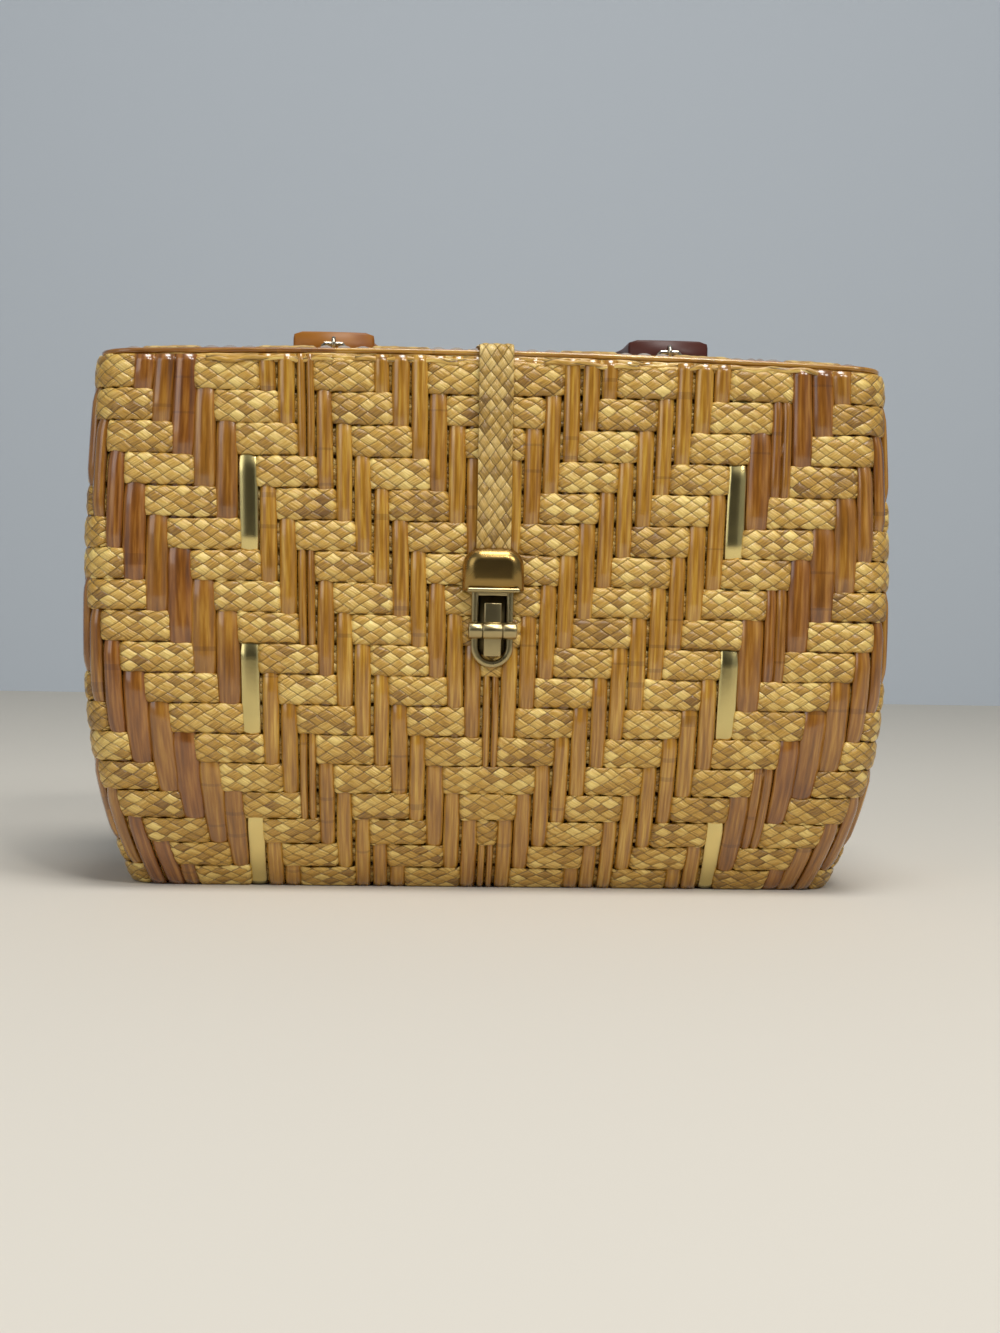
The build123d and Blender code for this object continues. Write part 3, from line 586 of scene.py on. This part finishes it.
straw = straw_finish("straw")
cane = cane_finish("lacquered_cane")
brass = metal_finish("worn_brass", (0.58, 0.47, 0.24), 0.22)
gold = metal_finish("gilt_strip", (0.96, 0.78, 0.33), 0.16)
steel = metal_finish("grey_steel", (0.42, 0.41, 0.39), 0.32)

BODY_SLOT, LID_SLOT = "woven_cane_and_straw", "woven_lid_cane_and_straw"
for piece in (*wall_braids, floor_braids):
    dress(piece, "basket", straw, "woven_body", slot=BODY_SLOT)
for piece in (upright_canes, floor_canes):
    dress(piece, "basket", cane, "woven_body", slot=BODY_SLOT)
for piece, finish in ((lid_braids, straw), (lid_canes, cane)):
    dress(piece, "lid", finish, "woven_lid", slot=LID_SLOT)

# %% [markdown]
# ## Swept pieces
# Wire, cord, bar and binding are all one outline carried along a line. The line is a function of
# how far along it is, and the outline is a list of places across and above the line.

# %% Sweeping an outline along a line


def swept(name, along, centre, section, up, closed=False, tone=lambda points: 0.5):
    section = np.vstack([section, section[:1]])

    def shape(strip, u, v):
        step = 1e-4
        ahead, behind = (u + step) % 1 if closed else np.minimum(u + step, 1), u - step
        behind = behind % 1 if closed else np.maximum(behind, 0)
        points = centre(u % 1 if closed else u)
        way = centre(ahead) - centre(behind)
        way /= np.linalg.norm(way, axis=1, keepdims=True)
        over = up(points) if callable(up) else np.broadcast_to(np.array(up, float), points.shape)
        side = np.cross(way, over)
        side /= np.linalg.norm(side, axis=1, keepdims=True)
        over = np.cross(side, way)
        k = np.minimum((v * (len(section) - 1) + 0.5).astype(int), len(section) - 1)
        place = points + section[k, :1] * side + section[k, 1:] * over
        length = np.linalg.norm(centre(np.array([0.5])) - centre(np.array([0.4999]))) * 10000
        uv = np.stack([u * length, v * 6], 1)
        return place, uv, (tone(points) + 0 * u, 0.37 + 0 * u)

    return strips(name, 1, along, len(section) - 1, shape)


def circle(radius, count=12):
    t = 2 * math.pi * np.arange(count) / count
    return np.stack([radius * np.cos(t), radius * np.sin(t)], 1)


def rounded(width, height, power=5.0, count=20):
    t = 2 * math.pi * np.arange(count) / count
    c, s = np.cos(t), np.sin(t)
    size = (np.abs(c) ** power + np.abs(s) ** power) ** (-1 / power)
    return np.stack([width / 2 * c * size, height / 2 * s * size], 1)


def polyline(*corners):
    corners = np.array(corners, float)
    steps = np.linalg.norm(np.diff(corners, axis=0), axis=1)
    places = np.concatenate([[0], np.cumsum(steps)]) / steps.sum()

    def centre(u):
        return np.stack([np.interp(u, places, corners[:, k]) for k in range(3)], 1)

    return centre


def arc_points(cx, cy, radius, start, stop, count=14):
    t = np.radians(np.linspace(start, stop, count))
    return [(cx + radius * math.cos(a), cy + radius * math.sin(a)) for a in t]


# %% [markdown]
# ## The rim and the lid's edge
# A split cane binds the lid's edge all round; towards its left end the front is redder. Below it,
# loose raffia is wound along the basket's rim, and stands up in small waves where the lid rests.

# %% Lid binding and rim raffia


def lid_edge(u):
    points, _ = wall(2 * BACK * u - BACK, BODY_TOP + 0 * u, -1.05)
    points[:, 2] = 174.95 + lid_arch(points[:, 0])
    return points


def edge_tone(points):
    red = (points[:, 0] < -52) & (points[:, 1] < 0)
    return np.where(red, 0.8, 0.12)


binding = swept("lid_edge_cane", 660, lid_edge, rounded(2.1, 1.9, 2.6, 12), (0, 0, 1), True,
                edge_tone)
dress(binding, "lid", cane, "lid_binding", slot="lid_binding_cane")


def raffia(name, first, last, height, out, wave, seed):
    def centre(u):
        n = first + u * (last - first)
        points, _ = wall(n, 173.9 + 0 * n, out + 0.5 * wander(n * PITCH, seed + 4, 6.0))
        rise = lid_arch(points[:, 0]) - 0.75
        waves = wave * wander(n * PITCH, seed, 4.0)
        points[:, 2] = BODY_TOP + np.minimum(height * (rise + 1) - 1 + waves, rise)
        return points

    return swept(name, int(abs(last - first) * 6), centre, rounded(0.55, 1.7, 3.0, 8), (0, 0, 1))


RAFFIA = [("a", -BACK, BACK, 0.25, 0.1, 0.3, 1), ("b", -BACK, BACK, 0.62, -0.1, 0.3, 2),
          ("c", -BACK, BACK, 0.98, -0.5, 0.3, 7), ("d", -15, -8.5, 0.5, 1.3, 1.0, 3),
          ("e", -7.4, -2, 0.6, 1.2, 0.8, 4), ("f", 2.5, 7.5, 0.5, 1.3, 1.0, 5),
          ("g", 10, 17, 0.6, 1.2, 0.9, 6)]
straw_thin = straw_finish("raffia", 30.0, 9.0)
for label, first, last, height, out, wave, seed in RAFFIA:
    strand = raffia("rim_raffia_" + label, first, last, height, out, wave, seed)
    dress(strand, "basket", straw_thin, slot=BODY_SLOT)

# %% [markdown]
# ## The strap
# A flat braid, doubled and stitched, with one smooth strand along its right edge. It is riveted to
# the lid, bends over the lid's front edge and ends inside the metal cap.

# %% Braided strap
STRAP_LENGTH, STRAP_HALF, STRAP_ON_LID, STRAP_BEND, STRAP_STRETCH = 111.2, 5.6, 32.4, 4.084, 1.2
STRAP = np.array([-1, -0.95, -0.8, -0.6, -0.4, -0.2, 0, 0.2, 0.4, 0.6, 0.72, 0.8, 0.88, 0.96, 1,
                  0.5, -0.5])


def strap_shape(strip, u, v):
    section = np.append(STRAP, -1)
    k = np.minimum((v * (len(section) - 1) + 0.5).astype(int), len(section) - 1)
    side, front = section[k], (k <= 14)
    run = u * STRAP_LENGTH
    bent = run - STRAP_ON_LID
    t = np.clip(bent / STRAP_BEND, 0, 1) * math.pi / 2
    parts = [bent < 0, bent < STRAP_BEND]
    cord = np.sqrt(np.maximum(1 - ((side - 0.86) / 0.14) ** 2, 0)) * (side > 0.72)
    edge = np.sqrt(np.maximum(1 - np.abs(side) ** 6, 0))
    plait = pillow(run * STRAP_STRETCH, side * STRAP_HALF * 1.05) * 0.35 * (side < 0.74)
    lift = np.where(front, 0.45 + 0.3 * edge + plait * edge + 0.25 * cord, -0.95 * edge)
    radius = 2.6 + lift
    y = np.select(parts, [-22.8 - run, -55.2 - radius * np.sin(t)], -57.8 - lift)
    z = np.select(parts, [181.75 + lift, 179.15 + radius * np.cos(t)],
                  179.15 - (bent - STRAP_BEND))
    z = z - 2.2 * soft((z - 150) / 29) * soft((-y - 30) / 24)
    sway = 0.15 * wander(run, 3, 12.0)
    points = np.stack([STRAP_HALF * side + sway, y, z], 1)
    return points, np.stack([run * STRAP_STRETCH, side * 5.9], 1), (side, side)


strap = strips("braided_strap", 1, 240, len(STRAP), strap_shape)
dress(strap, "lid", straw_finish("strap_straw", dark=(0.17, 0.085, 0.016),
                                 light=(0.52, 0.31, 0.060), pale=(0.82, 0.60, 0.22)),
      "closure_strap", slot="braided_strap")

# %% [markdown]
# ## The clasp
# The end cap is pressed from sheet brass: a dome with rounded shoulders, open at the back and
# below, with a rolled lip at its bottom edge. The latch below it is a bent bar with a rounded foot.
# Its barrel holds a small pressed tongue, which is the lever.

# %% End cap, latch frame and lever


def boxed(name, size, place, bevels, body, material, *nodes, slot, drop=(), shell=0):
    """A cube made to size, with chosen edges rounded; drop removes faces by direction."""
    work = bmesh.new()
    bmesh.ops.create_cube(work, size=1)
    bmesh.ops.scale(work, vec=Vector(size), verts=work.verts)
    bmesh.ops.translate(work, vec=Vector(place), verts=work.verts)
    work.faces.ensure_lookup_table()
    middle = Vector(place)
    for choose, offset, segments in bevels:
        ends = [(edge, edge.verts[0].co, edge.verts[1].co) for edge in work.edges]
        picked = [edge for edge, a, b in ends if choose(*((a + b) / 2 - middle), a - b)]
        bmesh.ops.bevel(work, geom=picked, offset=offset, segments=segments, profile=0.5,
                        affect="EDGES", material=-1)
    if drop:
        gone = [f for f in work.faces if any(f.normal.dot(Vector(way)) > 0.98 for way in drop)]
        bmesh.ops.delete(work, geom=gone, context="FACES")
    if shell:
        bmesh.ops.recalc_face_normals(work, faces=work.faces)
        bmesh.ops.solidify(work, geom=work.faces[:], thickness=shell)
    bmesh.ops.scale(work, vec=Vector((MM, MM, MM)), verts=work.verts)
    piece = settle(made_mesh(work, name), name, weld=False)
    return dress(piece, body, material, *nodes, slot=slot)


def shoulders(x, y, z, way):
    return abs(x) > 9 and z > 6 and abs(way.y) > 1


def cap_front(x, y, z, way):
    return y < -3.1 and abs(way.y) < 0.01 and z > -7.1


dark_brass = metal_finish("dark_polished_brass", (0.42, 0.27, 0.085), 0.20)
boxed("strap_cap_dome", (20, 6.4, 14.0), (0, -60.0, 107.2),
      [(shoulders, 6.3, 10), (cap_front, 4.4, 9)], "lid", dark_brass, "strap_end_cap",
      slot="brass_cap", drop=((0, 1, 0), (0, 0, -1)), shell=0.7)
lip = swept("strap_cap_lip", 40, polyline((-8.4, -62.4, 100.5), (8.4, -62.4, 100.5)),
            rounded(1.7, 1.5, 2.4, 12), (0, 0, 1))
dress(lip, "lid", brass, "strap_end_cap", slot="brass_cap")

foot = [(x, z) for x, z in arc_points(0, 82.1, 5.7, 180, 360, 22)]
frame_line = polyline(*[(x, -57.2, z) for x, z in [(-5.7, 102.4), *foot, (5.7, 102.4)]])
# Painted shade: a thin dark plate behind the latch frame stands in for the shadow in the hollow
# behind its bars.
boxed("latch_shade_plate", (10.4, 0.3, 20.0), (0, -56.8, 88.8),
      [(lambda x, y, z, way: z < -9 and abs(way.y) > 0.2, 4.6, 8)], "basket",
      metal_finish("painted_shade_behind_latch", (0.13, 0.10, 0.045), 0.4), "latch_base", slot="brass_latch")
frame_bar = swept("latch_frame_bar", 120, frame_line, rounded(2.3, 1.5, 3.0, 12), (0, -1, 0))
dress(frame_bar, "basket", brass, "latch_base", slot="brass_latch")
boxed("latch_frame_top", (13.4, 1.1, 3.9), (0, -57.1, 100.6),
      [(lambda x, y, z, way: y < -0.5, 0.35, 3)], "basket", brass, "latch_base", slot="brass_latch")


LATCH_AXIS_Y, LATCH_AXIS_Z = -59.7, 87.4


def turned(name, profile, body, material, *nodes, slot):
    """A profile of (x, radius) spun about the latch's axis."""
    work = bmesh.new()
    bmesh.ops.create_grid(work, x_segments=len(profile) - 1, y_segments=28, size=1)
    work.verts.ensure_lookup_table()
    places = sorted({round(v.co.x, 5) for v in work.verts})
    for v in work.verts:
        k = places.index(round(v.co.x, 5))
        t = (v.co.y + 1) * math.pi
        x, radius = profile[k]
        v.co = (x * MM, (LATCH_AXIS_Y + radius * math.cos(t)) * MM,
                (LATCH_AXIS_Z + radius * math.sin(t)) * MM)
    return dress(settle(made_mesh(work, name), name), body, material, *nodes, slot=slot)


def knuckle(low, high, radius=2.8):
    return [(low, 1.05), (low, radius - 0.35), (low + 0.12, radius - 0.1), (low + 0.35, radius),
            (high - 0.35, radius), (high - 0.12, radius - 0.1), (high, radius - 0.35),
            (high, 1.05)]


turned("latch_barrel_left", knuckle(-7.8, -3.3), "basket", brass, "latch_base", slot="brass_latch")
turned("latch_barrel_right", knuckle(3.3, 7.8), "basket", brass, "latch_base", slot="brass_latch")
turned("lever_barrel", knuckle(-3.2, 3.2), "latch_lever", brass, "latch_lever",
       slot="brass_lever")
boxed("lever_tongue", (5.6, 1.2, 17.4), (0, -59.7, 87.7),
      [(lambda x, y, z, way: y < -0.5 or abs(way.y) > 1, 0.4, 3)], "latch_lever", brass,
      "latch_lever", slot="brass_lever")

# %% [markdown]
# ## The handle
# One moulded arch of tortoiseshell plastic: amber at its left end and dark red-brown at its right,
# thick flat blocks at the ends, thinner at the grip. A wire eye in each end block hangs in a wire
# staple that goes through the lid.

# %% Handle
HANDLE_LENGTH, HANDLE_LEG, HANDLE_THICK = 260, 16.0, 9.5


def handle_shape(strip, u, v):
    section = rounded(1, 1, 8, 28)
    section = np.vstack([section, section[:1]])
    k = np.minimum((v * (len(section) - 1) + 0.5).astype(int), len(section) - 1)
    straight, bow = HANDLE_LEG / HANDLE_LENGTH, 1 - 2 * HANDLE_LEG / HANDLE_LENGTH
    t = np.clip((u - straight) / bow, 0, 1) * math.pi
    leg = np.minimum(u, 1 - u) / straight
    ahead = np.clip(leg, 0, 1) * HANDLE_LEG + 3.0
    outer = np.stack([-73.5 * np.cos(t), ahead + 57 * np.sin(t)], 1)
    inner = np.stack([-45 * np.cos(t), ahead + 39 * np.sin(t)], 1)
    middle, reach = (outer + inner) / 2, (outer - inner)
    width = np.linalg.norm(reach, axis=1, keepdims=True)
    end = np.clip(np.minimum(u, 1 - u) * HANDLE_LENGTH / 1.6, 0, 1)
    shrink = 1 - 0.05 * (1 - np.sqrt(1 - (1 - end) ** 2))
    flat = middle + reach * (section[k, :1] * shrink[:, None])
    thick = HANDLE_THICK - 2.5 * np.clip((flat[:, 1] - 19) / 57, 0, 1)
    z = 181.0 + thick / 2 + section[k, 1] * thick * shrink
    points = np.stack([5 + flat[:, 0], flat[:, 1], z], 1)
    return points, np.stack([u * HANDLE_LENGTH, v * 60], 1), (u, u)


handle = strips("handle_arch", 1, 260, 28, handle_shape)


def shell_finish(name):
    g = Graph(name)
    place = g.add("ShaderNodeTexCoord").outputs["Object"]
    parts = g.add("ShaderNodeSeparateXYZ", (0, place)).outputs
    across = g.math("MULTIPLY", g.math("ADD", parts[0], 0.04), 14.0)
    blot = g.noise(place, 55.0, 3.0)
    deep = g.math("ADD", g.math("SMOOTH_MIN", across, 1.0, 0.2),
                  g.math("MULTIPLY", g.math("SUBTRACT", blot, 0.5), 1.4))
    colour = g.ramp(deep, [(0.05, (0.36, 0.135, 0.012)), (0.4, (0.22, 0.06, 0.010)),
                           (0.85, (0.075, 0.016, 0.009))])
    g.set(Base_Color=colour, Roughness=0.42, Specular_IOR_Level=0.3,
          Transmission_Weight=0.12, IOR=1.5)
    return g.material


dress(handle, "handle", shell_finish("tortoiseshell"), "handle", slot="tortoiseshell_plastic")

wire = metal_finish("plated_wire", (0.66, 0.60, 0.47), 0.22)
EYE_HEIGHT, EYE_RADIUS = 185.75, 1.9
for side, x in (("left", -54.25), ("right", 64.25)):
    ring = polyline(*[(x, y, z) for y, z in arc_points(0, EYE_HEIGHT, EYE_RADIUS, 0, 360, 25)])
    eye = swept("eye_ring_" + side, 36, ring, circle(0.8, 10), (1, 0, 0), True)
    dress(eye, "handle", wire, "handle_eye_" + side, slot="eye_wire")
    stem = polyline((x, EYE_RADIUS, EYE_HEIGHT), (x, 8.9, EYE_HEIGHT))
    shank = swept("eye_shank_" + side, 6, stem, circle(0.8, 10), (0, 0, 1))
    dress(shank, "handle", wire, "handle_eye_" + side, slot="eye_wire")

# %% [markdown]
# ## The two brass strips
# Each takes the place of one cane: a strip of thin polished brass, slightly bowed where it comes
# out over three rows, so that it catches the light along its length.

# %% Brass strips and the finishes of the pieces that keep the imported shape
for side, n in (("left", -FRONT_INNER), ("right", FRONT_INNER)):
    strip_shape = cane_shape(wall, [(n, 0.0, 5.7, 0.0)], BORDERS[1:], BORDERS[:-1],
                             lambda strip: (1.2, 165.0), 0.75, -0.6)
    strip = strips("brass_strip_sheet_" + side, 1, 140, len(SECTION) - 1, strip_shape)
    dress(strip, "basket", gold, "brass_strip_" + side, slot="brass_strip")
KEPT = {"rim_hoop": cane_finish("rim_cane"),
        "latch_pin": steel, "latch_plate": steel, "latch_rivets": brass, "strap_rivets": brass,
        "hinge_body_rivets": brass, "hinge_lid_rivets": brass}
for side in ("left", "right"):
    KEPT["handle_staple_" + side] = wire
    KEPT["hinge_body_leaf_" + side] = brass
    KEPT["hinge_lid_leaf_" + side] = brass
    KEPT["hinge_pin_" + side] = steel
for node, finish in KEPT.items():
    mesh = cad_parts[node].data
    mesh.materials.clear()
    mesh.materials.append(finish)
print("finished", len(KEPT), "kept nodes")

# %% [markdown]
# ## The table and the light
# The bag stands on a pale cloth in front of a pale blue-grey wall, in soft light from above and a
# little from the right. A dark panel behind the camera, which the camera doesn't see, gives the
# polished brass something dark to mirror, as the photographer's side of a room does.

# %% Stage, camera and light


def stage_plane(name, size, place, turn, colour):
    work = bmesh.new()
    bmesh.ops.create_grid(work, x_segments=1, y_segments=1, size=size,
                          matrix=Matrix.Translation(place) @ Matrix.Rotation(turn, 4, "X"))
    piece = in_scene(name, made_mesh(work, name))
    g = Graph(name + "_paint")
    g.set(Base_Color=(*colour, 1), Roughness=0.9)
    piece.data.materials.append(g.material)
    return piece


stage_plane("table", 1.2, (0, 0.45, 0), 0, (0.66, 0.62, 0.545))
stage_plane("backdrop", 2.4, (0, 1.2, 1.0), math.pi / 2, (0.56, 0.61, 0.665))
dark_side = stage_plane("dark_side_of_the_room", 1.0, (0, -2.4, 0.4), math.pi / 2,
                        (0.06, 0.06, 0.06))
dark_side.visible_camera = False

camera_data = bpy.data.cameras.new("camera")
camera_data.sensor_fit = "HORIZONTAL"
camera_data.sensor_width = 36
camera_data.lens = 72
camera = in_scene("camera", camera_data)
PITCH_DOWN, ROLL, YAW = 2.06, 1.05, -3.41
camera.matrix_world = (Matrix.Translation((-0.0359, -0.7067, 0.0991))
                       @ Matrix.Rotation(math.radians(YAW), 4, "Z")
                       @ Matrix.Rotation(math.radians(90 - PITCH_DOWN), 4, "X")
                       @ Matrix.Rotation(math.radians(ROLL), 4, "Z"))
bpy.context.scene.camera = camera


def lamp(name, place, aim, size, power, colour):
    data = bpy.data.lights.new(name, "AREA")
    data.size = size
    data.energy = power
    data.color = colour
    light = in_scene(name, data)
    turn = (Vector(aim) - Vector(place)).to_track_quat("-Z", "Y")
    light.matrix_world = Matrix.Translation(place) @ turn.to_matrix().to_4x4()


lamp("overhead", (0.15, -0.45, 1.6), (0, 0, 0.08), 0.6, 15.0, (1.0, 0.98, 0.95))
lamp("glint", (0.22, -0.85, 0.95), (0, 0, 0.1), 0.12, 2.4, (1.0, 0.98, 0.95))
lamp("front_right", (1.1, -1.4, 1.4), (0, 0, 0.09), 0.5, 10.0, (1.0, 0.98, 0.95))
lamp("front_left", (-0.9, -0.9, 0.6), (0, 0, 0.09), 0.8, 2.8, (0.95, 0.97, 1.0))
world = bpy.data.worlds.new("room")
world.use_nodes = True
sky = world.node_tree.nodes["Background"]
sky.inputs["Color"].default_value = (0.80, 0.86, 0.92, 1)
sky.inputs["Strength"].default_value = 0.27
bpy.context.scene.world = world
bpy.context.scene.view_settings.view_transform = "Standard"
